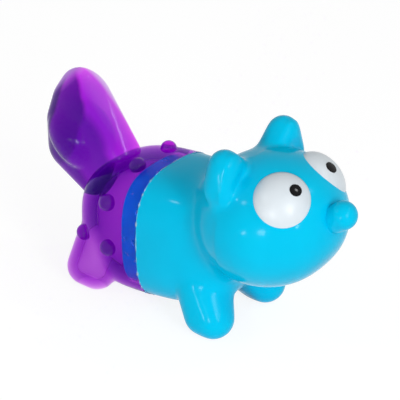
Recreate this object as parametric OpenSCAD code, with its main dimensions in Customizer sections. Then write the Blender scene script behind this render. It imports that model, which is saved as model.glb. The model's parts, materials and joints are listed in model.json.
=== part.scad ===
// Hollow squeaky fox toy: a blue front shell and a clear purple rear shell with a tail, glued at a seam.
// +X points to the nose, +Z up, and the soles stand on Z = 0.
// Sizes along X are counted from the body's widest place, near the seam.

/* [Body] */
// Width of the body at its widest place
body_w = 39.6; // [37:0.2:43]
// Height of the body at its widest place
body_h = 45.2; // [43:0.2:48]
// Height of the belly above the ground at the body's widest place
belly_z = 1.6; // [1.2:0.1:2.4]
// Length of the rump behind the body's widest place
rump_len = 29.5; // [28:0.5:33]
// Length of the chest ahead of the body's widest place
chest_len = 36; // [34:0.5:39]
// Rise of the body's middle line for each millimetre forward
axis_rise = 0.11; // [0.06:0.01:0.14]
// Squareness of the cross-section, where 2 is an ellipse
body_square = 3; // [2.6:0.1:3.4]
// Squareness of the rump and chest seen from the side, where 2 is an ellipse
end_square = 2.8; // [2.6:0.1:3.2]

/* [Shells] */
// Wall of the rear shell
rear_wall = 5; // [4.4:0.1:5.4]
// Wall of the hollow hind legs
leg_wall = 3.6; // [3:0.1:4.2]
// Wall around the tail's socket
socket_wall = 3; // [2.4:0.1:3.6]
// Wall of the head
head_wall = 3.2; // [2.6:0.1:4]
// Wall of the rear shell's skirt, which laps over the spigot
skirt_wall = 2.2; // [1.8:0.1:2.6]
// Height of the skirt's edge above the front shell
skirt_step = 0.2; // [0.1:0.05:0.4]
// Wall of the front shell's spigot
spigot_wall = 1.8; // [1.4:0.1:2.4]
// Length of the spigot behind the body's widest place
spigot_len = 5; // [4:0.5:7]
// Length of the skirt ahead of the body's widest place
skirt_len = 2.8; // [2:0.2:4]
// Room between the spigot and the skirt for the adhesive
glue_gap = 0.4; // [0.3:0.05:0.6]
// Clearance around pieces that are pressed or glued in
seat_gap = 0.05; // [0.03:0.01:0.1]

/* [Head] */
// Length of the head from its back to the muzzle
head_l = 49; // [46:0.5:53]
// Width of the head
head_w = 46; // [44:0.5:50]
// Height of the head
head_h = 42; // [40:0.5:46]
// Distance of the head's middle ahead of the body's widest place
head_x = 40; // [38:0.5:43]
// Height of the head's middle above the ground
head_z = 40.4; // [39:0.2:43]
// Upward tilt of the face
head_tilt = 19; // [14:1:24]
// Diameter of the nose at its root
nose_d = 8.6; // [8:0.2:9.4]
// Diameter of the nose at its tip
nose_tip_d = 8.8; // [8:0.2:9.4]
// Distance of the nose's root from the head's middle
nose_reach = 24.6; // [24:0.2:25.4]
// Distance of the nose's root below the head's middle line
nose_drop = 0.4; // [0:0.2:1.2]
// Length of the nose from its root to its tip
nose_len = 3; // [2:0.2:4]
// Upward turn of the nose from the head's middle line
nose_turn = 20; // [10:1:30]

/* [Ears] */
// Height of the ear tips above the ground
ear_top = 66.6; // [65:0.2:69]
// Distance of the ear tips from the middle plane
ear_y = 14.3; // [13:0.1:15.5]
// Distance of the ear tips behind the head's middle
ear_back = 6.5; // [5:0.5:8]
// Thickness of an ear at its tip
ear_tip_d = 10.4; // [9.6:0.2:11.2]
// Thickness of an ear at its base
ear_base_d = 11.2; // [10.4:0.2:12]
// Height of an ear's tip above the inner end of its base
ear_rise = 9.4; // [8.6:0.2:10.4]
// Height of an ear's tip above the outer end of its base
ear_out_rise = 7.2; // [6.4:0.2:8.2]
// Reach of an ear's base outward from its tip
ear_out = 1.8; // [1.2:0.1:2.4]
// Reach of an ear's base inward from its tip
ear_in = 9; // [8.2:0.1:9.6]
// Depth of the hollow in the front of an ear
ear_hollow = 1.5; // [1.1:0.1:2]
// Diameter of the hollow's round surface
ear_hollow_d = 28; // [25:0.5:31]

/* [Legs] */
// Distance of the front paws ahead of the body's widest place
front_paw_x = 27; // [26.2:0.2:28]
// Distance of the front paws from the middle plane
front_paw_y = 13.4; // [13:0.2:14.4]
// Distance of the hind paws behind the body's widest place
hind_paw_x = 20.8; // [20:0.2:22]
// Distance of the hind paws from the middle plane
hind_paw_y = 14.4; // [14:0.2:15.4]
// Thickness of a front paw
front_paw_d = 13.4; // [12.6:0.2:14.2]
// Length that a front paw has beyond its thickness
front_paw_len = 3.2; // [2.2:0.2:4]
// Thickness of a hind paw
hind_paw_d = 13; // [12:0.2:14]
// Length that a hind paw has beyond its thickness
hind_paw_len = 4.6; // [3.6:0.2:5.6]
// Thickness of a leg where it leaves the body
leg_d = 18.4; // [17.4:0.2:19]
// Depth that is cut flat under each paw
sole_cut = 0.6; // [0.4:0.1:1]

/* [Nubs] */
// Diameter of the nubs on the rear shell
nub_d = 5.4; // [4.6:0.2:6]
// Depth of a nub's middle under the surface
nub_sink = 0.3; // [0.1:0.1:0.6]

/* [Tail] */
// Thickness of the tail's middle
tail_t = 13; // [12.4:0.2:13.6]
// Thickness of the tail's rear part
tail_rear_t = 15; // [14:0.2:16]
// Thickness of the tail's front part
tail_front_t = 8.4; // [7.6:0.2:9.2]
// Width of the tail at its root
tail_root_w = 29.5; // [28.5:0.5:31]
// Length of the tail from its root to its tip
tail_len = 32.6; // [31.6:0.2:33.6]
// Reach of the tail's front edge from the middle of the root
tail_front = 19.7; // [19:0.1:20.6]
// Reach of the tail's rear edge from the middle of the root
tail_rear = 19; // [18.4:0.1:19.8]
// Radius of the tail's round tip
tail_tip_r = 11.6; // [11:0.1:12.2]
// Radius of the tail's middle
tail_mid_r = 12.4; // [11.6:0.1:12.6]
// Radius of the thick rear part of the tail
tail_back_r = 9; // [8.4:0.1:9.6]
// Radius of the tail's round rear end
tail_heel_r = 8.6; // [8:0.1:9.2]
// Slope of the tail's root on the rump
tail_slope = 45; // [42:1:48]
// Distance of the tail's root ahead of the rump's rear end
tail_root_in = 4.7; // [4:0.1:6]
// Depth of the root's middle below the top of the rump
tail_sink = 1.7; // [1.4:0.1:2.4]
// Thickness of the tuft at the tail's rear
tuft_t = 20; // [19:0.2:21]
// Length of the tuft
tuft_len = 23; // [21:0.5:24]
// Width of the tuft
tuft_w = 17; // [15:0.5:18]
// Diameter of the tail's round root
knuckle_d = 12.8; // [12.4:0.1:13.4]
// Gap around the tail's root
flex_gap = 0.3; // [0.2:0.05:0.5]
// Wag of the tail to each side
tail_wag = 20; // [10:1:24]

/* [Eyes] */
// Diameter of an eye's dome
eye_d = 18.8; // [18:0.2:19.6]
// Height of an eye's dome
eye_rise = 6.9; // [6.3:0.1:7.5]
// Distance of the domes' undersides from the head's middle
eye_reach = 18.6; // [18.2:0.1:19]
// Turn of an eye's axis away from straight ahead
eye_yaw = 41; // [39:1:44]
// Upward turn of an eye's axis
eye_pitch = 40.5; // [38.5:0.5:43]
// Thickness of the seat under an eyeball
eye_seat = 3.2; // [2.6:0.1:4]
// Diameter of an eyeball's stem
eye_stem_d = 4.8; // [4:0.2:5.6]
// Diameter of the barb at the stem's end
eye_barb_d = 6.4; // [6:0.2:7]
// Length of the barb
eye_barb_len = 2.2; // [1.6:0.1:3]
// Diameter of the barb's tip
eye_tip_d = 3.8; // [3.2:0.1:3.9]
// Diameter of the pupils
pupil_d = 3.7; // [3:0.1:4.6]
// Depth of a pupil's hole
pupil_depth = 1.6; // [1:0.1:2.4]
// Height of a pupil above the eyeball
pupil_rise = 0.15; // [0.05:0.05:0.3]
// Distance of a pupil above the middle of its eye
pupil_up = 2.5; // [1.5:0.1:3]
// Distance of a pupil inward from the middle of its eye
pupil_in = 3.1; // [2.2:0.1:3.6]

/* [Squeaker] */
// Distance of the squeaker ahead of the body's widest place
squeaker_x = 12.5; // [12:0.5:14]
// Diameter of the squeaker's flange
flange_d = 14; // [12:0.5:15]
// Thickness of the flange
flange_t = 1.3; // [1:0.1:1.6]
// Depth of the flange's front edge inside the belly
flange_inset = 0.2; // [0:0.1:0.5]
// Thickness of the belly under the flange's seat
seat_t = 3; // [2.4:0.1:3.6]
// Outer diameter of the squeaker's cup
cup_d = 10.4; // [10:0.1:11]
// Inner diameter of the cup
cup_bore_d = 8.2; // [7.8:0.1:8.6]
// Diameter of the barb around the cup
cup_barb_d = 11.8; // [11.4:0.1:12.4]
// Height of the barb around the cup
cup_barb_h = 1.6; // [1.2:0.1:2.2]
// Height of the cup above its flange's seat
cup_h = 12; // [11.5:0.1:14]
// Diameter of the air hole
air_hole_d = 2.6; // [2:0.1:3]
// Length of the reed's seat
reed_seat_h = 9.4; // [9:0.1:10]
// Thickness of the closed end of the reed's seat
reed_base_t = 1.4; // [1:0.1:2]
// Width of the channel under the reed
channel_w = 2.4; // [2:0.1:2.8]
// Depth of the channel under the reed
channel_t = 1.2; // [0.8:0.1:1.6]
// Width of the reed
reed_w = 3.4; // [3.2:0.1:3.8]
// Thickness of the reed
reed_t = 0.25; // [0.2:0.01:0.3]
// Length of the reed below its clamp
reed_len = 5; // [4.4:0.1:5.4]
// Lift of the reed's free end at rest
reed_lift = 8; // [7:1:10]
// Diameter of the reed's rolled root
reed_root_d = 0.8; // [0.7:0.05:0.9]
// Gap around the reed's root
reed_gap = 0.1; // [0.08:0.01:0.14]
// Height of the wedge that clamps the reed
wedge_h = 2; // [1.6:0.1:2.4]
// Width of the wedge
wedge_w = 5; // [4.6:0.1:5.4]
// Width of the air slot behind the wedge
wedge_slot_w = 2.4; // [2:0.1:3]

/* [Hidden] */

blue = [0.0, 0.72, 0.92];
purple = [0.48, 0.05, 0.72, 0.8];
eye_white = [0.9, 0.92, 0.94];
eye_black = [0.04, 0.04, 0.05];
clear_glue = [0.75, 0.8, 0.95, 0.6];
squeaker_white = [0.92, 0.92, 0.9];
reed_amber = [0.85, 0.72, 0.4];

ring_sides = 40;
end_rings = 9;
end_turn = 86;
dome_steps = 16;
blend_fn = 28;
round_fn = 72;
over = 1;
far = 200;
$fn = round_fn;

// Insets of the shell surfaces from the outside of the rear shell
spigot_inset = skirt_wall + glue_gap;
cavity_inset = spigot_inset + spigot_wall;

// Nubs on each side: distance behind the body's widest place, then angle down from the top
nub_places = [[6.2, 14], [10, 65], [9, 93], [22.4, 93]];

// Tail: its root line on the rump, and the thick round discs that it is drawn around. A row gives a disc's
// place along the root, its place outward, its radius and half its thickness
tail_x = tail_root_in - rump_len;
tail_z = top_z(tail_x) - tail_sink;
root_r = knuckle_d / 2 - over / 4;
root_len = tail_root_w - knuckle_d;
heel_out = 0.41;
mid_along = 0.19;
mid_out = 0.59;
back_along = -0.16;
tail_discs = [
    [-root_len / 2, 0, root_r, root_r],
    [root_len / 2, 0, root_r, root_r],
    [tail_heel_r - tail_rear, heel_out * tail_len, tail_heel_r, root_r],
    [back_along * tail_rear, mid_out * tail_len, tail_back_r, tail_rear_t / 2],
    [mid_along * tail_front, mid_out * tail_len, tail_mid_r, tail_t / 2],
    [tail_front - tail_tip_r, tail_len - tail_tip_r, tail_tip_r, tail_front_t / 2]
];

// Tuft: its place along the root and outward, and half the thickness of each of its two lobes
tuft_along = -0.14;
tuft_out = 0.43;
tuft_r = 6.6;
pad_d = knuckle_d + 2 * flex_gap + 2 * socket_wall;

// Ends of the toy along X, for the origin under its middle
nose_root_x = head_x + nose_reach * cos(head_tilt) + nose_drop * sin(head_tilt);
nose_front = nose_root_x + nose_len * cos(head_tilt + nose_turn) + nose_tip_d / 2;
tail_back = tail_x + min([for (d = tail_discs) d[0] * cos(tail_slope) - d[1] * sin(tail_slope) - d[2]]);
middle_x = (nose_front + tail_back) / 2;

// Flat bottom of a pupil's hole, above the underside of the eye's dome
pupil_z = eye_rise * sqrt(1 - (pow(pupil_up, 2) + pow(pupil_in, 2)) / pow(eye_d / 2, 2)) - pupil_depth;

// Legs: the top of each leg sits inside the body
leg_in = 4.3;
leg_rise = 9.2;
front_lean = -3.8;
hind_lean = 2;

// Squeaker: flange seat, cup and reed heights
flange_front = squeaker_x + flange_d / 2;
flange_z = mid_z(flange_front) - half_h(flange_front, skirt_step) + flange_inset;
flange_seat_z = flange_z + flange_t;
seat_top_z = flange_seat_z + seat_t;
cup_top_z = flange_seat_z + cup_h;
reed_seat_z = flange_seat_z + seat_gap;
reed_seat_r = cup_bore_d / 2 - seat_gap;
reed_seat_top_z = reed_seat_z + reed_seat_h;
reed_face_y = 0.3;
reed_y = reed_face_y + reed_gap + reed_root_d / 2;
reed_z = reed_seat_top_z - wedge_h;
channel_top_z = reed_z - reed_root_d;

function power(v, n) = sign(v) * pow(abs(v), 2 / n);
function swell(x, len) = pow(1 - pow(min(abs(x) / len, 1), end_square), 1 / end_square);
function end_len(x, inset) = (x < 0 ? rump_len : chest_len) - inset;
function half_w(x, inset = 0) = (body_w / 2 - inset) * swell(x, end_len(x, inset));
function half_h(x, inset = 0) = (body_h / 2 - inset) * swell(x, end_len(x, inset));
function mid_z(x) = belly_z + body_h / 2 + axis_rise * x;
function top_z(x) = mid_z(x) + half_h(x);
function body_point(x, angle, inset = 0) = [
    x,
    half_w(x, inset) * power(sin(angle), body_square),
    mid_z(x) + half_h(x, inset) * power(cos(angle), body_square)
];
// Places along X that close in on the end of the body as its surface turns over
function end_places(len) = [
    for (i = [1:end_rings]) len * pow(sin(end_turn * i / end_rings), 2 / end_square)
];
function reversed(list) = [for (i = [len(list) - 1:-1:0]) list[i]];

// Solid through body cross-sections at the given places, which rise along X
module body_loft(places, inset) {
    rings = len(places);
    points = [
        for (x = places)
            for (s = [0:ring_sides - 1]) body_point(x, 360 * s / ring_sides, inset)
    ];
    sides = [
        for (r = [0:rings - 2])
            for (s = [0:ring_sides - 1])
                let (a = r * ring_sides + s, b = r * ring_sides + (s + 1) % ring_sides)
                    for (f = [[a, b, a + ring_sides], [b, b + ring_sides, a + ring_sides]]) f
    ];
    rear = [for (s = [ring_sides - 1:-1:0]) s];
    front = [for (s = [0:ring_sides - 1]) (rings - 1) * ring_sides + s];
    polyhedron(points, concat(sides, [rear, front]));
}

module rump_form(inset, front) {
    ends = end_places(rump_len - inset);
    body_loft(concat([for (x = reversed(ends)) -x], front > 0 ? [0, front] : [0]), inset);
}

module chest_form(inset, rear = 0) {
    body_loft(concat([rear], end_places(chest_len - inset)), inset);
}

module at_head() {
    translate([head_x, 0, head_z]) rotate([0, -head_tilt, 0]) children();
}

module head_form(inset, fn) {
    half = [head_l / 2 - inset, head_w / 2 - inset, head_h / 2 - inset];
    hull() at_head() scale(half) sphere(1, $fn = fn);
}

module nose_form() {
    root = [nose_reach, 0, -nose_drop];
    tip = root + nose_len * [cos(nose_turn), 0, sin(nose_turn)];
    at_head() hull() {
        translate(root) sphere(d = nose_d, $fn = blend_fn);
        translate(tip) sphere(d = nose_tip_d, $fn = blend_fn);
    }
}

module ear_form(side) {
    tip = [head_x - ear_back, side * ear_y, ear_top - ear_tip_d / 2];
    outer = tip + [0, side * ear_out, -ear_out_rise];
    inner = tip + [0, -side * ear_in, -ear_rise];
    dish = (tip + outer + inner) / 3 + [(ear_hollow_d + ear_base_d) / 2 - ear_hollow, 0, 0];
    difference() {
        hull() {
            translate(tip) sphere(d = ear_tip_d, $fn = blend_fn);
            for (base = [outer, inner]) translate(base) sphere(d = ear_base_d, $fn = blend_fn);
        }
        translate(dish) sphere(d = ear_hollow_d);
    }
}

module leg_form(x, y, lean, side, paw_d, paw_len, inset = 0) {
    paw = [x, side * y, paw_d / 2 - sole_cut];
    hull() {
        for (end = [-1, 1])
            translate(paw + [end * paw_len / 2, 0, 0]) sphere(paw_d / 2 - inset, $fn = blend_fn);
        translate(paw + [lean, -side * leg_in, leg_rise]) sphere(leg_d / 2 - inset, $fn = blend_fn);
    }
}

module front_leg(side) {
    leg_form(front_paw_x, front_paw_y, front_lean, side, front_paw_d, front_paw_len);
}

module hind_leg(side, inset = 0) {
    leg_form(-hind_paw_x, hind_paw_y, hind_lean, side, hind_paw_d, hind_paw_len, inset);
}

module below_ground() {
    translate([-far / 2, -far / 2, -far]) cube(far);
}

module at_eye(side) {
    out = eye_reach * cos(eye_pitch);
    move = [out * cos(eye_yaw), side * out * sin(eye_yaw), eye_reach * sin(eye_pitch)];
    translate([head_x, 0, head_z] + move) children();
}

module along(yaw, pitch) {
    rotate([0, 90 - pitch, yaw]) children();
}

// Dome of an eye, which grows by the given amount all over
module dome(more = 0) {
    steps = [for (i = [0:dome_steps]) 90 * i / dome_steps];
    rotate_extrude() polygon(concat(
        [[0, 0]],
        [for (a = steps) [(eye_d / 2 + more) * cos(a), (eye_rise + more) * sin(a)]]
    ));
}

module eye_boss(side) {
    at_eye(side) along(side * eye_yaw, eye_pitch)
        translate([0, 0, -eye_seat]) cylinder(d = eye_d + eye_seat, h = eye_seat + eye_rise);
}

module eye_socket(side) {
    at_eye(side) along(side * eye_yaw, eye_pitch) {
        dome(seat_gap);
        translate([0, 0, -eye_seat - over])
            cylinder(d = eye_stem_d + 2 * seat_gap, h = eye_seat + 2 * over);
    }
}

module squeaker_boss() {
    translate([squeaker_x, 0, 0]) cylinder(d = flange_d + seat_t, h = seat_top_z);
}

module squeaker_seat() {
    translate([squeaker_x, 0, 0]) {
        translate([0, 0, -over]) cylinder(d = flange_d + 2 * seat_gap, h = flange_seat_z + over);
        cylinder(d = cup_d + 2 * seat_gap, h = seat_top_z + over);
    }
}

module front_hollow() {
    difference() {
        union() {
            chest_form(cavity_inset, -spigot_len - over);
            head_form(head_wall, blend_fn);
        }
        eye_boss(-1);
        eye_boss(1);
        squeaker_boss();
    }
}

module front_shell() {
    color(blue) difference() {
        union() {
            chest_form(skirt_step, skirt_len);
            body_loft([-spigot_len, 0, skirt_len + over], spigot_inset);
            head_form(0, ring_sides);
            nose_form();
            for (side = [-1, 1]) {
                ear_form(side);
                front_leg(side);
            }
        }
        front_hollow();
        eye_socket(-1);
        eye_socket(1);
        squeaker_seat();
        below_ground();
    }
}

module nubs() {
    for (place = nub_places)
        for (side = [-1, 1])
            translate(body_point(-place[0], side * place[1], nub_sink)) sphere(d = nub_d, $fn = ring_sides);
}

// Tail's own frame: X along its root line, Y across the toy, Z out of the rump
module at_tail() {
    translate([tail_x, 0, tail_z]) rotate([0, -tail_slope, 0]) children();
}

module root_cylinder(d, length) {
    rotate([0, 90, 0]) cylinder(d = d, h = length, center = true);
}

module root_capsule(d) {
    root_cylinder(d, root_len);
    for (end = [-1, 1]) translate([end * root_len / 2, 0, 0]) sphere(d = d);
}

// Round seat of the tail's root, with a mouth that stays clear of the tail's sides as it wags
module tail_socket() {
    seat_r = knuckle_d / 2 + flex_gap;
    side = seat_r + flex_gap;
    lean = tail_wag + atan((tail_rear_t / 2 - root_r) / (mid_out * tail_len));
    low = side * [cos(lean), -sin(lean)];
    spread = side / cos(lean) + tail_len * tan(lean);
    at_tail() {
        root_capsule(2 * seat_r);
        rotate([90, 0, 90]) linear_extrude(root_len - over, center = true)
            polygon([[-low.x, low.y], low, [spread, tail_len], [-spread, tail_len]]);
    }
}

module rear_shell() {
    color(purple) difference() {
        union() {
            rump_form(0, skirt_len);
            for (side = [-1, 1]) hind_leg(side);
            nubs();
        }
        difference() {
            union() {
                rump_form(rear_wall, over);
                for (side = [-1, 1]) hind_leg(side, leg_wall);
            }
            at_tail() root_cylinder(pad_d, tail_root_w);
        }
        body_loft([-spigot_len - seat_gap, 0, skirt_len + over], skirt_wall);
        tail_socket();
        below_ground();
    }
}

module disc(along, out, radius, half_t) {
    translate([along, 0, out]) scale([radius, half_t, radius]) sphere(1, $fn = blend_fn);
}

module tuft_lobe(side) {
    place = [tuft_along * tail_rear, side * (tuft_t / 2 - tuft_r), tuft_out * tail_len];
    translate(place) scale([tuft_w / 2, tuft_r, tuft_len / 2]) sphere(1, $fn = blend_fn);
}

module tail() {
    color(purple) at_tail() {
        root_capsule(knuckle_d);
        hull() for (d = tail_discs) disc(d[0], d[1], d[2], d[3]);
        hull() for (side = [-1, 1]) tuft_lobe(side);
    }
}

module seam_adhesive() {
    places = [-spigot_len + seat_gap, 0, skirt_len - seat_gap];
    color(clear_glue) difference() {
        body_loft(places, skirt_wall + seat_gap);
        body_loft([-spigot_len - over, 0, skirt_len + over], spigot_inset - seat_gap);
    }
}

module at_pupil(side) {
    at_eye(side) along(side * eye_yaw, eye_pitch)
        translate([-pupil_up, -side * pupil_in, pupil_z]) children();
}

module eyeball(side) {
    barb_z = -eye_seat - seat_gap - eye_barb_len;
    color(eye_white) difference() {
        at_eye(side) along(side * eye_yaw, eye_pitch) {
            dome();
            translate([0, 0, barb_z]) cylinder(d = eye_stem_d, h = -barb_z + over);
            translate([0, 0, barb_z]) cylinder(d1 = eye_tip_d, d2 = eye_barb_d, h = eye_barb_len);
        }
        at_pupil(side) cylinder(d = pupil_d + 2 * seat_gap, h = eye_rise);
    }
}

module pupil(side) {
    color(eye_black) intersection() {
        at_pupil(side) cylinder(d = pupil_d, h = eye_rise);
        at_eye(side) along(side * eye_yaw, eye_pitch) dome(pupil_rise);
    }
}

module squeaker_cup() {
    color(squeaker_white) translate([squeaker_x, 0, 0]) difference() {
        union() {
            translate([0, 0, flange_z]) cylinder(d = flange_d, h = flange_t);
            translate([0, 0, flange_z]) cylinder(d = cup_d, h = cup_top_z - flange_z);
            translate([0, 0, seat_top_z + seat_gap])
                cylinder(d1 = cup_barb_d, d2 = (cup_d + cup_bore_d) / 2, h = cup_barb_h);
        }
        translate([0, 0, flange_seat_z]) cylinder(d = cup_bore_d, h = cup_h + over);
        translate([0, 0, flange_z - over]) cylinder(d = air_hole_d, h = flange_t + 2 * over);
    }
}

module reed_seat() {
    color(squeaker_white) translate([squeaker_x, 0, reed_seat_z]) difference() {
        cylinder(r = reed_seat_r, h = reed_seat_h);
        translate([-far / 2, reed_face_y, reed_base_t]) cube(far);
        translate([-channel_w / 2, reed_face_y - channel_t, -over])
            cube([channel_w, channel_t, channel_top_z - reed_seat_z + over]);
    }
}

module reed_wedge() {
    color(squeaker_white) translate([squeaker_x, 0, 0]) difference() {
        intersection() {
            translate([0, 0, reed_z]) cylinder(r = reed_seat_r, h = wedge_h);
            translate([-wedge_w / 2, reed_face_y, reed_z]) cube([wedge_w, cup_bore_d, wedge_h]);
        }
        translate([-wedge_w, reed_y, reed_z]) rotate([0, 90, 0])
            cylinder(d = reed_root_d + 2 * reed_gap, h = 2 * wedge_w);
        translate([-wedge_slot_w / 2, reed_y + reed_root_d, reed_z - over])
            cube([wedge_slot_w, cup_bore_d, wedge_h + 2 * over]);
    }
}

module reed() {
    color(reed_amber) translate([squeaker_x, reed_y, reed_z]) rotate([reed_lift, 0, 0]) {
        rotate([0, 90, 0]) cylinder(d = reed_root_d, h = reed_w, center = true);
        translate([-reed_w / 2, -reed_t / 2, -reed_len]) cube([reed_w, reed_t, reed_len]);
    }
}

module placed() {
    translate([-middle_x, 0, 0]) children();
}

placed() front_shell();
placed() rear_shell();
placed() tail();
placed() seam_adhesive();
placed() eyeball(-1);  // right_eyeball
placed() eyeball(1);  // left_eyeball
placed() pupil(-1);  // right_pupil
placed() pupil(1);  // left_pupil
placed() squeaker_cup();
placed() reed_seat();
placed() reed_wedge();
placed() reed();
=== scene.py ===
import json
import math

import bpy
from mathutils import Matrix, Vector


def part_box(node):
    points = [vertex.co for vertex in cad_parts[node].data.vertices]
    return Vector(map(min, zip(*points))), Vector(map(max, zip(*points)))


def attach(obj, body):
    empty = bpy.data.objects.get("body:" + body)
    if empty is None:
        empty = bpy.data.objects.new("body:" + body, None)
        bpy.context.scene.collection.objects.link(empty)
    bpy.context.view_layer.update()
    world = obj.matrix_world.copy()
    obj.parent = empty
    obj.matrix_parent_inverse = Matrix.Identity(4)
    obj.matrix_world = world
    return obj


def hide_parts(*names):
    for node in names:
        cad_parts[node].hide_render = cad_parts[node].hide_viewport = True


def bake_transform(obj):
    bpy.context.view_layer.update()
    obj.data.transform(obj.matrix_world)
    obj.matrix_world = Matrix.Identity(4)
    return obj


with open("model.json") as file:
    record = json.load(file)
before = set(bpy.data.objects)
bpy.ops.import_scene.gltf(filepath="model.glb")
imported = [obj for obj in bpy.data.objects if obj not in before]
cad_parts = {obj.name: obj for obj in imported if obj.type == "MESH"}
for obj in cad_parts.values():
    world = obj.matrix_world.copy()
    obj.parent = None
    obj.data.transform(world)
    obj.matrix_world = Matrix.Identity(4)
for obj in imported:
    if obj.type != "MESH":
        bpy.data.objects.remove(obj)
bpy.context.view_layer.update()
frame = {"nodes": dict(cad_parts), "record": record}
print("frame loaded:", sorted(frame["nodes"]))

mm = 0.001
joints = {joint["name"]: joint for joint in frame["record"]["behaviour"]["joints"]}
tailRoot = (-24.8, 0, 35.84)  # from the barrel's widest place, in mm
middleX = joints["tail_flex"]["pos_m"][0] / mm - tailRoot[0]
weldGap = 0.00001  # closest that two points of a finished piece lie
smoothPull = 0.5  # share of the way to its neighbours that a point goes in a round
tiny = 0.000001  # keeps a cut exact and a swell above nothing


# Places are given in mm, with X counted from the barrel's widest place
def at(x, y, z):
    return Vector((x + middleX, y, z)) * mm


def deselectAll():
    bpy.ops.object.select_all(action="DESELECT")


def takeUp(piece):
    deselectAll()
    piece.select_set(True)
    bpy.context.view_layer.objects.active = piece


def applyPlace(piece):
    takeUp(piece)
    bpy.ops.object.transform_apply(location=True, rotation=True, scale=True)
    return piece


def addBall(place, size, turn=(0, 0, 0), segments=64):
    deselectAll()
    bpy.ops.mesh.primitive_uv_sphere_add(
        segments=segments, ring_count=segments // 2, radius=1,
        location=place, rotation=turn, scale=[s * mm for s in size])
    return applyPlace(bpy.context.object)


def addRound(place, diameter, segments=48):
    return addBall(place, (diameter / 2,) * 3, segments=segments)


# Round post along an axis, from one distance along it to another
def addPost(place, axis, diameter, start, end, sides=96):
    deselectAll()
    bpy.ops.mesh.primitive_cylinder_add(
        vertices=sides, radius=diameter / 2 * mm, depth=(end - start) * mm,
        location=place + axis * (start + end) / 2 * mm,
        rotation=axis.to_track_quat("Z", "Y").to_euler())
    return applyPlace(bpy.context.object)


def joinAll(pieces):
    deselectAll()
    for piece in pieces:
        piece.select_set(True)
    bpy.context.view_layer.objects.active = pieces[0]
    bpy.ops.object.join()
    return pieces[0]


# One tight skin around several balls
def wrapBalls(balls):
    piece = joinAll(balls)
    bpy.ops.object.mode_set(mode="EDIT")
    bpy.ops.mesh.select_all(action="SELECT")
    bpy.ops.mesh.convex_hull()
    bpy.ops.object.mode_set(mode="OBJECT")
    return piece


def applyModifier(piece, kind, **values):
    takeUp(piece)
    modifier = piece.modifiers.new(kind.title(), kind)
    for key, value in values.items():
        setattr(modifier, key, value)
    bpy.ops.object.modifier_apply(modifier=modifier.name)


def combine(piece, other, operation):
    applyModifier(piece, "BOOLEAN", object=other, operation=operation, solver="EXACT")
    bpy.data.objects.remove(other)


def meltTogether(pieces, voxel, rounds):
    piece = joinAll(pieces)
    applyModifier(piece, "REMESH", mode="VOXEL", voxel_size=voxel * mm, use_smooth_shade=True)
    applyModifier(piece, "SMOOTH", factor=smoothPull, iterations=rounds)
    return piece


# Keeps the part of a piece on the side of the plane that the normal points to
def cutFlat(piece, place, normal):
    takeUp(piece)
    bpy.ops.object.mode_set(mode="EDIT")
    bpy.ops.mesh.select_all(action="SELECT")
    bpy.ops.mesh.bisect(plane_co=place, plane_no=normal, use_fill=True, clear_inner=True, threshold=tiny)
    bpy.ops.object.mode_set(mode="OBJECT")


def finishPiece(piece, name, nodes, material, sharpAngle=40):
    takeUp(piece)
    bpy.ops.object.mode_set(mode="EDIT")
    bpy.ops.mesh.select_all(action="SELECT")
    bpy.ops.mesh.remove_doubles(threshold=weldGap)
    bpy.ops.object.mode_set(mode="OBJECT")
    bpy.ops.object.shade_smooth_by_angle(angle=math.radians(sharpAngle))
    piece.name = name
    piece.data.name = name
    piece.data.materials.clear()
    piece.data.materials.append(material)
    if nodes:
        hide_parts(*nodes)
    print(name, len(piece.data.polygons), "faces")
    return piece


# Shared surface effect: soft mottling, fine mould grain and small specks
mouldGrain = {"inputs": {"Broad Scale": 60, "Fine Scale": 900, "Speck Scale": 350,
                         "Roughness Low": 0.3, "Roughness High": 0.4},
              "broadDetail": 3, "fineDetail": 2, "toneRange": (0.3, 0.7),
              "speckReach": 0.16, "speckHeight": 0.35}


# Spreads the middle of a noise over the whole of a range
def addToneRange(nodes, links, tone):
    spread = nodes.new("ShaderNodeMapRange")
    for label, value in zip(("From Min", "From Max"), mouldGrain["toneRange"]):
        spread.inputs[label].default_value = value
    links.new(tone, spread.inputs["Value"])
    return spread


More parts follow.
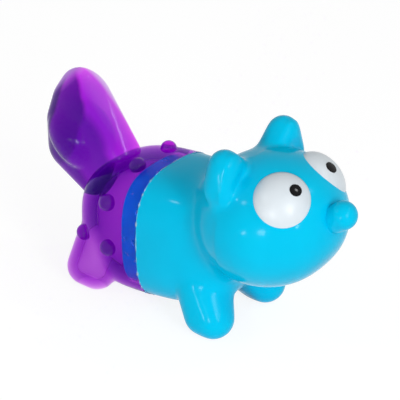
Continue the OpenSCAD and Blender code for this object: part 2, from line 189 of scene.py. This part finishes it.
def makeGrainGroup():
    group = bpy.data.node_groups.new("mouldGrain", "ShaderNodeTree")
    for label, value in mouldGrain["inputs"].items():
        socket = group.interface.new_socket(label, in_out="INPUT", socket_type="NodeSocketFloat")
        socket.default_value = value
    for label in ("Tone", "Roughness", "Height"):
        group.interface.new_socket(label, in_out="OUTPUT", socket_type="NodeSocketFloat")
    nodes, links = group.nodes, group.links
    entry = nodes.new("NodeGroupInput")
    leave = nodes.new("NodeGroupOutput")
    coords = nodes.new("ShaderNodeTexCoord")
    broad = nodes.new("ShaderNodeTexNoise")
    fine = nodes.new("ShaderNodeTexNoise")
    speck = nodes.new("ShaderNodeTexVoronoi")
    broad.inputs["Detail"].default_value = mouldGrain["broadDetail"]
    fine.inputs["Detail"].default_value = mouldGrain["fineDetail"]
    for node, label in ((broad, "Broad Scale"), (fine, "Fine Scale"), (speck, "Speck Scale")):
        links.new(coords.outputs["Object"], node.inputs["Vector"])
        links.new(entry.outputs[label], node.inputs["Scale"])
    rough = addToneRange(nodes, links, broad.outputs["Fac"])
    links.new(entry.outputs["Roughness Low"], rough.inputs["To Min"])
    links.new(entry.outputs["Roughness High"], rough.inputs["To Max"])
    specks = nodes.new("ShaderNodeMapRange")
    links.new(speck.outputs["Distance"], specks.inputs["Value"])
    specks.inputs["From Max"].default_value = mouldGrain["speckReach"]
    specks.inputs["To Min"].default_value = 1.0
    specks.inputs["To Max"].default_value = 0.0
    add = nodes.new("ShaderNodeMath")
    add.operation = "MULTIPLY_ADD"
    add.inputs[1].default_value = mouldGrain["speckHeight"]
    links.new(specks.outputs["Result"], add.inputs[0])
    links.new(fine.outputs["Fac"], add.inputs[2])
    links.new(broad.outputs["Fac"], leave.inputs["Tone"])
    links.new(rough.outputs["Result"], leave.inputs["Roughness"])
    links.new(add.outputs["Value"], leave.inputs["Height"])
    return group


grainGroup = makeGrainGroup()


# Painted shading: turns a colour towards another along an axis, between two places in mm
def addPaintedShading(nodes, links, colour, shade):
    axis = Vector(shade["axis"]).normalized()
    origin = at(*shade["from"]).dot(axis)
    coords = nodes.new("ShaderNodeTexCoord")
    measure = nodes.new("ShaderNodeVectorMath")
    measure.operation = "DOT_PRODUCT"
    measure.inputs[1].default_value = axis
    links.new(coords.outputs["Object"], measure.inputs[0])
    share = nodes.new("ShaderNodeMapRange")
    share.interpolation_type = "SMOOTHSTEP"
    share.inputs["From Min"].default_value = origin + shade["start"] * mm
    share.inputs["From Max"].default_value = origin + shade["end"] * mm
    links.new(measure.outputs["Value"], share.inputs["Value"])
    turn = nodes.new("ShaderNodeMix")
    turn.data_type = "RGBA"
    turn.inputs["B"].default_value = (*shade["colour"], 1)
    links.new(colour, turn.inputs["A"])
    links.new(share.outputs["Result"], turn.inputs["Factor"])
    return turn.outputs["Result"]


def makeMaterial(look):
    material = bpy.data.materials.new(look["name"])
    material.use_nodes = True
    nodes, links = material.node_tree.nodes, material.node_tree.links
    shader = nodes["Principled BSDF"]
    grain = nodes.new("ShaderNodeGroup")
    grain.node_tree = grainGroup
    for label, value in look["grain"].items():
        grain.inputs[label].default_value = value
    tone = nodes.new("ShaderNodeMix")
    tone.data_type = "RGBA"
    tone.inputs["A"].default_value = (*look["colours"][0], 1)
    tone.inputs["B"].default_value = (*look["colours"][1], 1)
    links.new(addToneRange(nodes, links, grain.outputs["Tone"]).outputs["Result"], tone.inputs["Factor"])
    colour = tone.outputs["Result"]
    for shade in look.get("paintedShading", []):
        colour = addPaintedShading(nodes, links, colour, shade)
    links.new(colour, shader.inputs["Base Color"])
    links.new(grain.outputs["Roughness"], shader.inputs["Roughness"])
    bump = nodes.new("ShaderNodeBump")
    bump.inputs["Strength"].default_value = look["bump"]
    bump.inputs["Distance"].default_value = look["bumpDepth"] * mm
    links.new(grain.outputs["Height"], bump.inputs["Height"])
    links.new(bump.outputs["Normal"], shader.inputs["Normal"])
    for label, value in look["plain"].items():
        shader.inputs[label].default_value = value
    if "absorb" in look:
        volume = nodes.new("ShaderNodeVolumeAbsorption")
        volume.inputs["Color"].default_value = (*look["absorb"]["colour"], 1)
        volume.inputs["Density"].default_value = look["absorb"]["density"]
        links.new(volume.outputs["Volume"], nodes["Material Output"].inputs["Volume"])
    return material


blueRubber = makeMaterial({
    "name": "blueRubber",
    "colours": ((0.0, 0.47, 0.73), (0.0, 0.53, 0.8)),
    "grain": {"Broad Scale": 45, "Fine Scale": 1200, "Speck Scale": 420,
              "Roughness Low": 0.1, "Roughness High": 0.17},
    "bump": 0.12, "bumpDepth": 0.06,
    "plain": {"Specular IOR Level": 0.055},
})
purpleRump = makeMaterial({
    "name": "purpleRump",
    "colours": ((0.9, 0.8, 0.95), (0.96, 0.9, 0.98)),
    "grain": {"Broad Scale": 70, "Fine Scale": 260, "Speck Scale": 240,
              "Roughness Low": 0.03, "Roughness High": 0.08},
    "bump": 0.06, "bumpDepth": 0.1,
    "plain": {"Transmission Weight": 1.0, "IOR": 1.03,
              "Coat Weight": 0.35, "Coat IOR": 1.2, "Coat Roughness": 0.04},
    "absorb": {"colour": (0.7, 0.1, 0.85), "density": 290},
})
# The nubs are the same clear rubber as the rump; their darker base colour is painted shade for the dark
# look the domes get from refraction
darkPaintedNub = makeMaterial({
    "name": "darkPaintedNub",
    "colours": ((0.48, 0.0, 0.66), (0.55, 0.005, 0.74)),
    "grain": {"Broad Scale": 300, "Fine Scale": 600, "Speck Scale": 400,
              "Roughness Low": 0.03, "Roughness High": 0.06},
    "bump": 0.03, "bumpDepth": 0.05,
    "plain": {"Transmission Weight": 1.0, "IOR": 1.05,
              "Coat Weight": 1.0, "Coat IOR": 1.24, "Coat Roughness": 0.03},
    "absorb": {"colour": (0.7, 0.1, 0.86), "density": 150},
})
purpleTail = makeMaterial({
    "name": "purpleTail",
    "colours": ((0.9, 0.018, 0.96), (0.96, 0.03, 1.0)),
    "grain": {"Broad Scale": 70, "Fine Scale": 260, "Speck Scale": 240,
              "Roughness Low": 0.03, "Roughness High": 0.06},
    "bump": 0.02, "bumpDepth": 0.08,
    "plain": {"Transmission Weight": 1.0, "IOR": 1.0,
              "Coat Weight": 1.0, "Coat IOR": 1.2, "Coat Roughness": 0.05},
    "absorb": {"colour": (0.1, 0.1, 0.66), "density": 66},
    # Painted shading stands in for how refraction lights the clear tail: painted shade on its rear-lower
    # half and rear end, a painted highlight on the front edge and a painted rim reflection along the top
    "paintedShading": [
        # painted shade, darker towards the rear-lower half of the tail
        {"axis": (-1, 0, -1), "from": tailRoot, "start": 3.5, "end": 8, "colour": (0.2, 0.0, 0.42)},
        # painted shade, darkest at the tail's rear end
        {"axis": (-1, 0, 0.15), "from": tailRoot, "start": 18.6, "end": 20.6, "colour": (0.08, 0.0, 0.22)},
        # painted highlight, pale along the front edge
        {"axis": (1, 0, 1), "from": tailRoot, "start": 13, "end": 17.5, "colour": (0.9, 0.62, 0.95)},
        # painted rim reflection, greyish lilac along the top
        {"axis": (-1, 0, 1), "from": tailRoot, "start": 29, "end": 32, "colour": (0.5, 0.25, 0.66)},
    ],
})
eyeWhite = makeMaterial({
    "name": "eyeWhite",
    "colours": ((0.62, 0.68, 0.73), (0.68, 0.74, 0.78)),
    "grain": {"Broad Scale": 80, "Fine Scale": 900, "Speck Scale": 400,
              "Roughness Low": 0.30, "Roughness High": 0.40},
    "bump": 0.05, "bumpDepth": 0.05,
    "plain": {"IOR": 1.46},
})
pupilBlack = makeMaterial({
    "name": "pupilBlack",
    "colours": ((0.002, 0.002, 0.003), (0.004, 0.004, 0.005)),
    "grain": {"Broad Scale": 300, "Fine Scale": 1500, "Speck Scale": 900,
              "Roughness Low": 0.06, "Roughness High": 0.12},
    "bump": 0.04, "bumpDepth": 0.03,
    "plain": {"Specular IOR Level": 0.12},
})
clearGlue = makeMaterial({
    "name": "clearGlue",
    "colours": ((0.9, 0.93, 1.0), (1.0, 1.0, 1.0)),
    "grain": {"Broad Scale": 300, "Fine Scale": 700, "Speck Scale": 500,
              "Roughness Low": 0.08, "Roughness High": 0.3},
    "bump": 0.4, "bumpDepth": 0.2,
    "plain": {"Transmission Weight": 1.0, "IOR": 1.06},
})
# The bead's whitish colour is partly the dried glue's own and partly painted glints along the skirt's edge
glueBead = makeMaterial({
    "name": "glueBead",
    "colours": ((0.1, 0.6, 0.85), (0.85, 0.96, 1.0)),
    "grain": {"Broad Scale": 500, "Fine Scale": 700, "Speck Scale": 500,
              "Roughness Low": 0.08, "Roughness High": 0.3},
    "bump": 0.4, "bumpDepth": 0.2,
    "plain": {"Transmission Weight": 0.6, "IOR": 1.3},
})
squeakerPlastic = makeMaterial({
    "name": "squeakerPlastic",
    "colours": ((0.82, 0.82, 0.79), (0.88, 0.88, 0.86)),
    "grain": {"Broad Scale": 150, "Fine Scale": 1500, "Speck Scale": 800,
              "Roughness Low": 0.45, "Roughness High": 0.55},
    "bump": 0.1, "bumpDepth": 0.05,
    "plain": {"IOR": 1.49},
})
reedFilm = makeMaterial({
    "name": "reedFilm",
    "colours": ((0.75, 0.58, 0.26), (0.82, 0.66, 0.32)),
    "grain": {"Broad Scale": 500, "Fine Scale": 2500, "Speck Scale": 1500,
              "Roughness Low": 0.2, "Roughness High": 0.3},
    "bump": 0.05, "bumpDepth": 0.02,
    "plain": {"IOR": 1.58},
})
print("materials made")

# Barrel of the toy: squarish in section, with a rounded rump and chest
barrel = {"width": 39.6, "height": 45.2, "belly": 1.6, "rump": 29.5, "chest": 36, "rise": 0.11,
          "sectionPower": 3, "endPower": 2.8}


def softPower(value, power):
    return math.copysign(abs(value) ** (2 / power), value)


def sectionPoint(x, angle, inset):
    reach = (barrel["rump"] if x < 0 else barrel["chest"]) - inset
    swell = max(1 - min(abs(x) / reach, 1) ** barrel["endPower"], 0) ** (1 / barrel["endPower"])
    middle = barrel["belly"] + barrel["height"] / 2 + barrel["rise"] * x
    y = (barrel["width"] / 2 - inset) * swell * softPower(math.sin(angle), barrel["sectionPower"])
    z = middle + (barrel["height"] / 2 - inset) * swell * softPower(math.cos(angle), barrel["sectionPower"])
    return at(x, y, z)


# How far out a place is in the barrel's section there, where 1 is on the surface
def barrelShare(place):
    x, y, z = place.x / mm - middleX, abs(place.y / mm), place.z / mm
    reach = barrel["rump"] if x < 0 else barrel["chest"]
    swell = max(1 - min(abs(x) / reach, 1) ** barrel["endPower"], tiny) ** (1 / barrel["endPower"])
    up = abs(z - barrel["belly"] - barrel["height"] / 2 - barrel["rise"] * x)
    power = barrel["sectionPower"]
    total = (y / barrel["width"] * 2) ** power + (up / barrel["height"] * 2) ** power
    return total ** (1 / power) / swell


def addBarrel(inset, segments=128):
    deselectAll()
    bpy.ops.mesh.primitive_uv_sphere_add(segments=segments, ring_count=segments // 2, radius=1,
                                         rotation=(0, math.radians(90), 0))
    piece = applyPlace(bpy.context.object)
    for vertex in piece.data.vertices:
        along = max(-1, min(1, vertex.co.x))
        angle = math.atan2(vertex.co.y, vertex.co.z)
        reach = (barrel["rump"] if along < 0 else barrel["chest"]) - inset
        vertex.co = sectionPoint(reach * softPower(along, barrel["endPower"]), angle, inset)
    return piece


# Straight length of the barrel's section at the seam, for the spigot and what it fits into
def addCollar(rear, front, inset, sides=160):
    deselectAll()
    bpy.ops.mesh.primitive_cylinder_add(vertices=sides, radius=1, depth=2,
                                        rotation=(0, math.radians(90), 0))
    piece = applyPlace(bpy.context.object)
    for vertex in piece.data.vertices:
        angle = math.atan2(vertex.co.y, vertex.co.z)
        place = sectionPoint(0, angle, inset)
        x = rear if vertex.co.x < 0 else front
        vertex.co = place + Vector((x, 0, barrel["rise"] * x)) * mm
    return piece


shells = {"skirtWall": 2.2, "skirtLength": 2.8, "glueGap": 0.4, "spigotWall": 1.8, "spigotLength": 5,
          "lapGap": 0.05, "rearWall": 5, "step": 0.2, "headWall": 3.2, "legWall": 3.6, "overlap": 1,
          "melt": {"voxel": 0.7, "rounds": 10}}
spigotInset = shells["skirtWall"] + shells["glueGap"]
hollowInset = spigotInset + shells["spigotWall"]

head = {"place": (40, 0, 40.4), "size": (24.5, 23, 21), "tilt": 19, "segments": 96,
        "neckSoft": [(8, 250), (16, 80)]}  # reach in mm and rounds of each smoothing
headTurn = (0, -math.radians(head["tilt"]), 0)
headPlace = at(*head["place"])
headMatrix = Matrix.Translation(headPlace) @ Matrix.Rotation(headTurn[1], 4, "Y")

eye = {"size": 18.8, "rise": 6.9, "reach": 18.6, "yaw": 41, "pitch": 40.5, "gap": 0.05, "bossSize": 22,
       "segments": 96}
pupil = {"size": 3.7, "up": 2.5, "inward": 3.1, "depth": 1.6, "rise": 0.15}


def direction(yaw, pitch):
    yaw, pitch = math.radians(yaw), math.radians(pitch)
    return Vector((math.cos(pitch) * math.cos(yaw), math.cos(pitch) * math.sin(yaw), math.sin(pitch)))


def eyeAxis(side):
    return direction(side * eye["yaw"], eye["pitch"])


def eyePlace(side):
    return headPlace + eyeAxis(side) * eye["reach"] * mm


# Dome of an eye, grown all over by some mm
def addDome(side, more=0):
    half = eye["size"] / 2 + more
    turn = eyeAxis(side).to_track_quat("Z", "Y").to_euler()
    dome = addBall(eyePlace(side), (half, half, eye["rise"] + more), turn, eye["segments"])
    cutFlat(dome, eyePlace(side), eyeAxis(side))
    return dome


# Post of the pupil or of its hole, square to the eye's underside
def addPupilPost(side, diameter):
    yaw = math.radians(eye["yaw"])
    down = direction(side * eye["yaw"], eye["pitch"] - 90)
    inward = Vector((math.sin(yaw), -side * math.cos(yaw), 0))
    place = eyePlace(side) + (inward * pupil["inward"] - down * pupil["up"]) * mm
    away = math.hypot(pupil["up"], pupil["inward"]) / (eye["size"] / 2)
    start = eye["rise"] * math.sqrt(1 - away ** 2) - pupil["depth"]
    return addPost(place, eyeAxis(side), diameter, start, start + eye["rise"])


# Front shell: chest, head, nose, ears and front legs in one moulding
ears = {"tip": (33.5, 14.3, 61.4), "tipSize": 10.4, "outer": (33.5, 16.1, 54.2), "outerSize": 11.2,
        "inner": (33.5, 5.3, 52), "innerSize": 11.2, "dish": (51.6, 11.9, 55.87), "dishSize": 28,
        "dishSegments": 64}
frontLegs = {"paw": (27, 13.4, 6.1), "pawSize": 13.4, "pawLength": 3.2,
             "top": (21.2, 9.1, 15.3), "topSize": 18.4}
nose = {"reach": 24.6, "drop": 0.4, "size": 8.6, "length": 3, "turn": 20, "tipSize": 8.8}


def mirrored(place, side):
    return at(place[0], side * place[1], place[2])


def makeEar(side):
    parts = ("tip", "outer", "inner")
    ear = wrapBalls([addRound(mirrored(ears[part], side), ears[part + "Size"]) for part in parts])
    dish = addRound(mirrored(ears["dish"], side), ears["dishSize"], ears["dishSegments"])
    combine(ear, dish, "DIFFERENCE")
    return ear


# The inset makes the hollow of a leg with that wall
def makeLeg(leg, side, inset=0):
    paw, top = mirrored(leg["paw"], side), mirrored(leg["top"], side)
    toe = Vector((leg["pawLength"] / 2 * mm, 0, 0))
    balls = [addRound(place, leg["pawSize"] - 2 * inset) for place in (paw - toe, paw + toe)]
    return wrapBalls(balls + [addRound(top, leg["topSize"] - 2 * inset)])


def makeNose():
    root = Vector((nose["reach"], 0, -nose["drop"]))
    tip = root + direction(0, nose["turn"]) * nose["length"]
    return wrapBalls([addRound(headMatrix @ (root * mm), nose["size"]),
                      addRound(headMatrix @ (tip * mm), nose["tipSize"])])


# Belly squeaker's seat: a hole for its flange, a smaller one for its cup, and the boss round them
squeaker = {"place": (12.5, 0, 0), "flangeSize": 14, "flangeThick": 1.3, "cupSize": 10.4, "wall": 3,
            "gap": 0.05}
upward = Vector((0, 0, 1))
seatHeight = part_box("squeaker_cup")[0][2] / mm + squeaker["flangeThick"]
seatTop = seatHeight + squeaker["wall"]


def addSqueakerPost(diameter, start, end):
    return addPost(at(*squeaker["place"]), upward, diameter, start, end)


def makeSqueakerSeat():
    seat = addSqueakerPost(squeaker["flangeSize"] + 2 * squeaker["gap"], -seatTop, seatHeight)
    combine(seat, addSqueakerPost(squeaker["cupSize"] + 2 * squeaker["gap"], 0, 2 * seatTop), "UNION")
    return seat


# Hollow of the chest and head, kept clear of the bosses that the eyes and the squeaker sit in
def makeHollow():
    hollow = addBarrel(hollowInset)
    room = addBall(headPlace, [s - shells["headWall"] for s in head["size"]], headTurn)
    for side in (-1, 1):
        boss = addPost(eyePlace(side), eyeAxis(side), eye["bossSize"], -shells["headWall"], eye["size"])
        combine(room, boss, "DIFFERENCE")
    combine(hollow, room, "UNION")
    boss = addSqueakerPost(squeaker["flangeSize"] + squeaker["wall"], -seatTop, seatTop)
    combine(hollow, boss, "DIFFERENCE")
    return hollow


# How far a place is from the barrel's surface, in mm
def barrelGap(place, step=0.1, leastSlope=0.001):
    share = barrelShare(place)
    ways = ((1, 0, 0), (0, 1, 0), (0, 0, 1))
    slope = Vector([(barrelShare(place + step * mm * Vector(way)) - share) / step for way in ways])
    return abs(share - 1) / max(slope.length, leastSlope)


# Softens the fold where the head meets the barrel
def softenNeck(shell, reach, rounds):
    group = shell.vertex_groups.new(name="neck")
    toHead = headMatrix.inverted()
    for vertex in shell.data.vertices:
        local = toHead @ vertex.co / mm
        headGap = abs(Vector([local[i] / head["size"][i] for i in range(3)]).length - 1) * head["size"][1]
        near = max(0, 1 - max(headGap, barrelGap(vertex.co)) / reach)
        group.add([vertex.index], near * near * (3 - 2 * near), "REPLACE")
    applyModifier(shell, "SMOOTH", factor=smoothPull, iterations=rounds, vertex_group=group.name)
    shell.vertex_groups.clear()


def makeFrontShell():
    parts = [addBarrel(shells["step"]), addBall(headPlace, head["size"], headTurn, head["segments"])]
    for side in (-1, 1):
        parts.append(makeEar(side))
        parts.append(makeLeg(frontLegs, side))
    shell = meltTogether(parts, **shells["melt"])
    for reach, rounds in head["neckSoft"]:
        softenNeck(shell, reach, rounds)
    cutFlat(shell, at(shells["skirtLength"], 0, 0), (1, 0, 0))
    cutFlat(shell, at(0, 0, 0), (0, 0, 1))
    combine(shell, makeNose(), "UNION")
    spigot = addCollar(-shells["spigotLength"], shells["skirtLength"] + shells["overlap"], spigotInset)
    combine(shell, spigot, "UNION")
    combine(shell, makeHollow(), "DIFFERENCE")
    combine(shell, makeSqueakerSeat(), "DIFFERENCE")
    for side in (-1, 1):
        combine(shell, addDome(side, eye["gap"]), "DIFFERENCE")
    return shell


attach(finishPiece(makeFrontShell(), "frontShell", ["front_shell"], blueRubber), "toy")

# Rear shell: rump and hind legs in one clear moulding, with the nubs on it
hindLegs = {"paw": (-20.8, 14.4, 5.9), "pawSize": 13, "pawLength": 4.6,
            "top": (-18.8, 10.1, 15.1), "topSize": 18.4}
nubs = {"size": 5.4, "sink": 0.3, "rooted": 1, "places": [(6.2, 14), (10, 65), (9, 93), (22.4, 93)]}
# Tail discs: place along the root, place outward, radius and half the thickness
tail = {"slope": 45, "sunk": 1, "bend": 9,
        "discs": [(-8.35, 0, 6.15, 6.15), (8.35, 0, 6.15, 6.15), (-10.4, 13.37, 8.6, 6.15),
                  (-3.04, 19.23, 9, 7.5), (3.74, 19.23, 12.4, 6.5), (8.1, 21, 11.6, 4.2)],
        "tuft": (-2.66, 14.02), "tuftSpread": 3.4, "tuftSize": (8.5, 6.6, 11.5),
        "melt": {"voxel": 0.5, "rounds": 12}}
tailTurn = (0, -math.radians(tail["slope"]), 0)
tailMatrix = Matrix.Translation(at(*tailRoot)) @ Matrix.Rotation(tailTurn[1], 4, "Y")


def addTailBall(along, across, out, size):
    return addBall(tailMatrix @ (Vector((along, across, out)) * mm), size, tailTurn)


# Tail with its tuft, which sits a little way into the rump
def makeTail():
    blade = wrapBalls([addTailBall(along, 0, out, (radius, half, radius))
                       for along, out, radius, half in tail["discs"]])
    along, out = tail["tuft"]
    tuft = wrapBalls([addTailBall(along, side * tail["tuftSpread"], out, tail["tuftSize"])
                      for side in (-1, 1)])
    piece = meltTogether([blade, tuft], **tail["melt"])
    combine(piece, addBarrel(tail["sunk"]), "DIFFERENCE")
    return piece


# Hollow of the rump, which runs down into the hind legs
def makeRearHollow():
    hollow = addBarrel(shells["rearWall"])
    for side in (-1, 1):
        combine(hollow, makeLeg(hindLegs, side, shells["legWall"]), "UNION")
    return hollow


def makeRearShell():
    parts = [addBarrel(0)]
    for side in (-1, 1):
        parts.append(makeLeg(hindLegs, side))
    shell = meltTogether(parts, **shells["melt"])
    cutFlat(shell, at(shells["skirtLength"], 0, 0), (-1, 0, 0))
    cutFlat(shell, at(0, 0, 0), (0, 0, 1))
    combine(shell, makeRearHollow(), "DIFFERENCE")
    lap = addCollar(-shells["spigotLength"] - shells["lapGap"], shells["skirtLength"] + shells["overlap"],
                    shells["skirtWall"])
    combine(shell, lap, "DIFFERENCE")
    return shell


def makeNubs():
    domes = []
    for back, angle in nubs["places"]:
        for side in (-1, 1):
            place = sectionPoint(-back, side * math.radians(angle), nubs["sink"])
            domes.append(addRound(place, nubs["size"]))
    piece = joinAll(domes)
    combine(piece, addBarrel(nubs["rooted"]), "DIFFERENCE")
    return piece


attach(finishPiece(makeRearShell(), "rearShell", ["rear_shell"], purpleRump), "toy")
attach(finishPiece(makeNubs(), "nubs", [], darkPaintedNub), "toy")

# Tail: moulded on the rump, with its root where the real tail bends
tailPiece = finishPiece(makeTail(), "bushyTail", ["tail"], purpleTail)
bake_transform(tailPiece)


# Eyes: white domes with a flat-bottomed hole for the pupil
def makeEye(side):
    dome = addDome(side)
    combine(dome, addPupilPost(side, pupil["size"] + 2 * eye["gap"]), "DIFFERENCE")
    return dome


def makePupil(side):
    disc = addPupilPost(side, pupil["size"])
    combine(disc, addDome(side, pupil["rise"]), "INTERSECT")
    return disc


for side, name in ((-1, "right"), (1, "left")):
    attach(finishPiece(makeEye(side), name + "Eye", [name + "_eyeball"], eyeWhite), "toy")
    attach(finishPiece(makePupil(side), name + "Pupil", [name + "_pupil"], pupilBlack), "toy")

# Seam glue: the layer in the lap, and the uneven bead that was pressed out at the skirt's edge
glue = {"thick": 0.26, "length": 7.4, "place": -1.1, "ripple": 0.05, "sides": (220, 12),
        "beadSize": 0.45, "beadRipple": 1.8, "beadPlace": 2.9, "beadInset": 0.15, "beadFull": 0.3,
        "beadSides": (320, 10), "least": 0.1, "waves": ((23, 0), (37, 1), (61, 2))}
ringRadius = 0.25  # of the section of a ring that isn't laid yet


def uneven(angle):
    return sum(math.sin(count * angle + shift) for count, shift in glue["waves"]) / len(glue["waves"])


def addRing(sides):
    deselectAll()
    bpy.ops.mesh.primitive_torus_add(major_segments=sides[0], minor_segments=sides[1], major_radius=1,
                                     minor_radius=ringRadius, rotation=(0, math.radians(90), 0))
    return applyPlace(bpy.context.object)


# Lays a ring's section round the seam: thick across the wall, long along X
def layRing(ring, x, inset, thick, length, ripple, full=1):
    for vertex in ring.data.vertices:
        out = (math.hypot(vertex.co.y, vertex.co.z) - 1) / ringRadius / 2
        angle = math.atan2(vertex.co.y, vertex.co.z)
        swell = max(full + ripple * uneven(angle), glue["least"])
        place = sectionPoint(0, angle, inset - out * thick * swell)
        along = x + vertex.co.x / ringRadius / 2 * length * swell
        vertex.co = place + Vector((along, 0, barrel["rise"] * along)) * mm


def makeGlue():
    layer = addRing(glue["sides"])
    layRing(layer, glue["place"], shells["skirtWall"] + shells["glueGap"] / 2, glue["thick"],
            glue["length"], glue["ripple"])
    return layer


def makeBead():
    bead = addRing(glue["beadSides"])
    layRing(bead, glue["beadPlace"], glue["beadInset"], glue["beadSize"], glue["beadSize"],
            glue["beadRipple"], glue["beadFull"])
    return bead


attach(finishPiece(makeGlue(), "seamGlue", ["seam_adhesive"], clearGlue), "toy")
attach(finishPiece(makeBead(), "glueBead", [], glueBead), "toy")

# Squeaker: the CAD pieces as they are, with their finishes
for name in ("squeaker_cup", "reed_seat", "reed_wedge"):
    frame["nodes"][name].data.materials.clear()
    frame["nodes"][name].data.materials.append(squeakerPlastic)
frame["nodes"]["reed"].data.materials.clear()
frame["nodes"]["reed"].data.materials.append(reedFilm)
print("pieces made")

# Floor, light and camera
stage = {"floorSize": 3.0, "floorColour": 0.85, "floorShade": 0.22, "floorGlow": 0.86,
         "skyLight": 0.35, "skyShown": 1.0, "lampAim": (0, 0, 0.03)}
lamps = [
    {"name": "key", "place": (0.98, -0.42, 0.52), "size": 0.38, "power": 4.4},
    {"name": "keyGlint", "place": (0.98, -0.4, 0.28), "size": 0.06, "power": 1.1},
    {"name": "fill", "place": (0.33, -1.05, 0.17), "size": 0.2, "power": 3.0},
    {"name": "fillGlint", "place": (-0.12, -1.1, 0.06), "size": 0.06, "power": 0.8},
    {"name": "shoulderGlint", "place": (-0.42, -0.7, 0.78), "size": 0.08, "power": 0.8},
    {"name": "eyeGlint", "place": (0.55, 0.42, 0.84), "size": 0.12, "power": 0.8},
    {"name": "top", "place": (1.05, -0.05, 0.8), "size": 0.6, "power": 1.5},
]
view = {"place": (295.3, -352.6, 289.4), "target": (11.4, 1.5, 35.35), "lens": 149.8}


# 1 for what the camera sees straight, in a gloss or through the clear rubber, 0 for soft light
def addSeenMask(nodes, links):
    path = nodes.new("ShaderNodeLightPath")
    first = nodes.new("ShaderNodeMath")
    first.operation = "MAXIMUM"
    links.new(path.outputs["Is Camera Ray"], first.inputs[0])
    links.new(path.outputs["Is Glossy Ray"], first.inputs[1])
    both = nodes.new("ShaderNodeMath")
    both.operation = "MAXIMUM"
    links.new(first.outputs["Value"], both.inputs[0])
    links.new(path.outputs["Is Transmission Ray"], both.inputs[1])
    return both.outputs["Value"]


def makeFloor():
    deselectAll()
    bpy.ops.mesh.primitive_plane_add(size=stage["floorSize"])
    floor = bpy.context.object
    floor.name = "floor"
    material = bpy.data.materials.new("floorWhite")
    material.use_nodes = True
    nodes, links = material.node_tree.nodes, material.node_tree.links
    nodes.remove(nodes["Principled BSDF"])
    plain = nodes.new("ShaderNodeBsdfDiffuse")
    plain.inputs["Color"].default_value = (*[stage["floorColour"]] * 3, 1)
    shade = nodes.new("ShaderNodeBsdfDiffuse")
    shade.inputs["Color"].default_value = (*[stage["floorShade"]] * 3, 1)
    glow = nodes.new("ShaderNodeEmission")
    glow.inputs["Strength"].default_value = stage["floorGlow"]
    shown = nodes.new("ShaderNodeAddShader")
    links.new(shade.outputs["BSDF"], shown.inputs[0])
    links.new(glow.outputs["Emission"], shown.inputs[1])
    choose = nodes.new("ShaderNodeMixShader")
    links.new(addSeenMask(nodes, links), choose.inputs["Fac"])
    links.new(plain.outputs["BSDF"], choose.inputs[1])
    links.new(shown.outputs["Shader"], choose.inputs[2])
    links.new(choose.outputs["Shader"], nodes["Material Output"].inputs["Surface"])
    floor.data.materials.append(material)


def makeSky():
    world = bpy.data.worlds.new("studio")
    bpy.context.scene.world = world
    world.use_nodes = True
    nodes, links = world.node_tree.nodes, world.node_tree.links
    strength = nodes.new("ShaderNodeMapRange")
    links.new(addSeenMask(nodes, links), strength.inputs["Value"])
    strength.inputs["To Min"].default_value = stage["skyLight"]
    strength.inputs["To Max"].default_value = stage["skyShown"]
    nodes["Background"].inputs["Color"].default_value = (1, 1, 1, 1)
    links.new(strength.outputs["Result"], nodes["Background"].inputs["Strength"])


makeFloor()
makeSky()
for lamp in lamps:
    data = bpy.data.lights.new(lamp["name"], "AREA")
    data.shape = "DISK"
    data.size = lamp["size"]
    data.energy = lamp["power"]
    light = bpy.data.objects.new(lamp["name"], data)
    light.location = lamp["place"]
    light.rotation_euler = (Vector(stage["lampAim"]) - light.location).to_track_quat("-Z", "Y").to_euler()
    bpy.context.scene.collection.objects.link(light)

cameraData = bpy.data.cameras.new("camera")
cameraData.lens = view["lens"]
camera = bpy.data.objects.new("camera", cameraData)
camera.location = at(*view["place"])
camera.rotation_euler = (at(*view["target"]) - camera.location).to_track_quat("-Z", "Y").to_euler()
bpy.context.scene.collection.objects.link(camera)
bpy.context.scene.camera = camera
bpy.context.scene.view_settings.view_transform = "Standard"
print("stage set")
